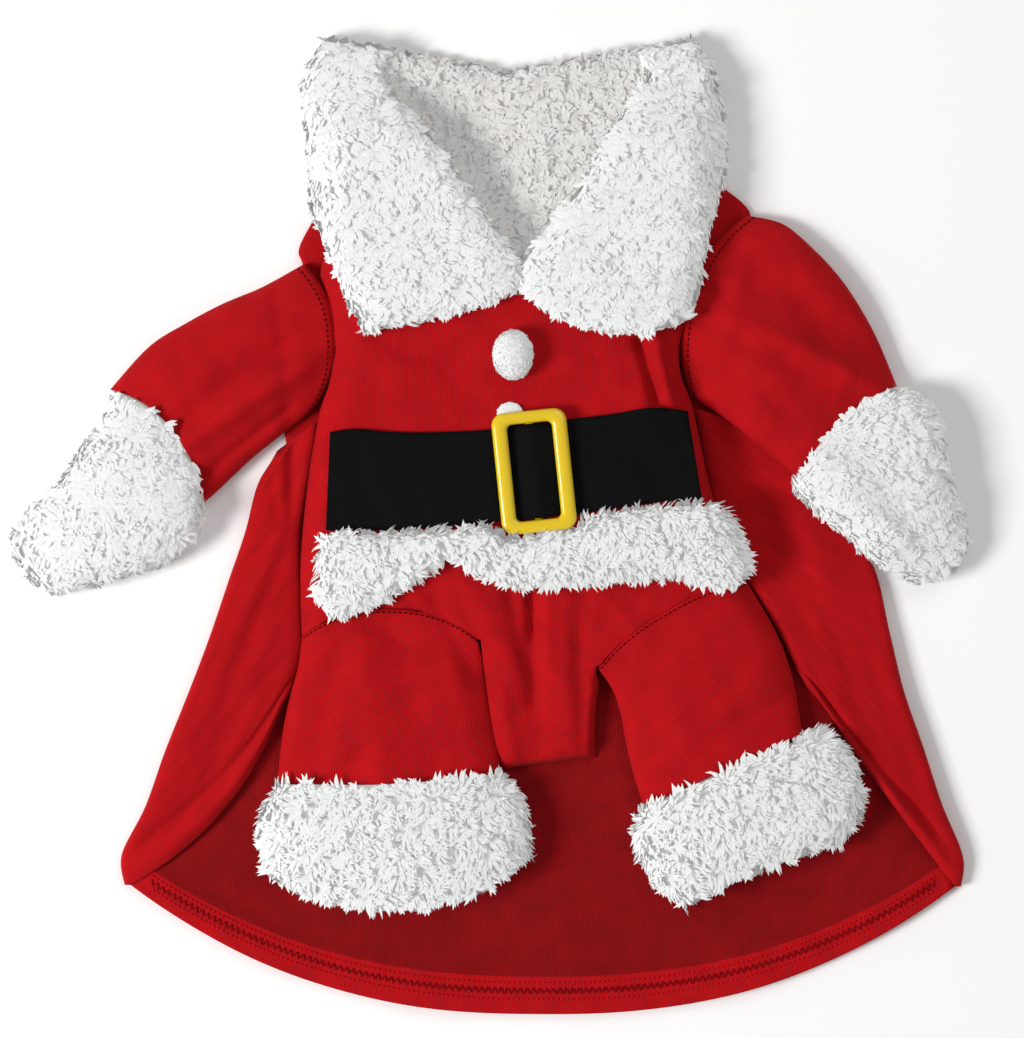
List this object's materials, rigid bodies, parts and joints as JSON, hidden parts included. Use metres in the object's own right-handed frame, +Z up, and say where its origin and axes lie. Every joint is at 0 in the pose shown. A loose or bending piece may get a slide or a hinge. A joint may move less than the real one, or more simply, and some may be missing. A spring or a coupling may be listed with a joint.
{
  "type": "dog santa costume",
  "caption": "Red knit pet costume with white fleece collar, mitts, cuffs and trim, a black belt with a yellow buckle and a wide coat tail, laid flat belly up.",
  "frame": {"origin": "middle of the underside's box, on the surface that the costume lies on", "axes": "+Z up from the surface, +Y toward the collar, +X toward the sleeve on the right of the view from above"},
  "size_m": [0.3788, 0.388, 0.0277],
  "materials": {
    "red_knit": "fine rib knit, brushed inside",
    "white_fleece": "curly pile",
    "black_webbing": "matte woven band",
    "yellow_plastic": "glossy moulded"
  },
  "bodies": {
    "root": {"back_panel": "red_knit", "front_panel": "red_knit", "sleeve_left": "red_knit", "sleeve_right": "red_knit", "mitt_left": "white_fleece", "mitt_right": "white_fleece", "leg_left": "red_knit", "leg_right": "red_knit", "leg_cuff_left": "white_fleece", "leg_cuff_right": "white_fleece", "collar": "white_fleece", "coat_trim": "white_fleece", "belt": "black_webbing", "buckle": "yellow_plastic", "pompom_upper": "white_fleece", "pompom_lower": "white_fleece"}
  },
  "joints": []
}
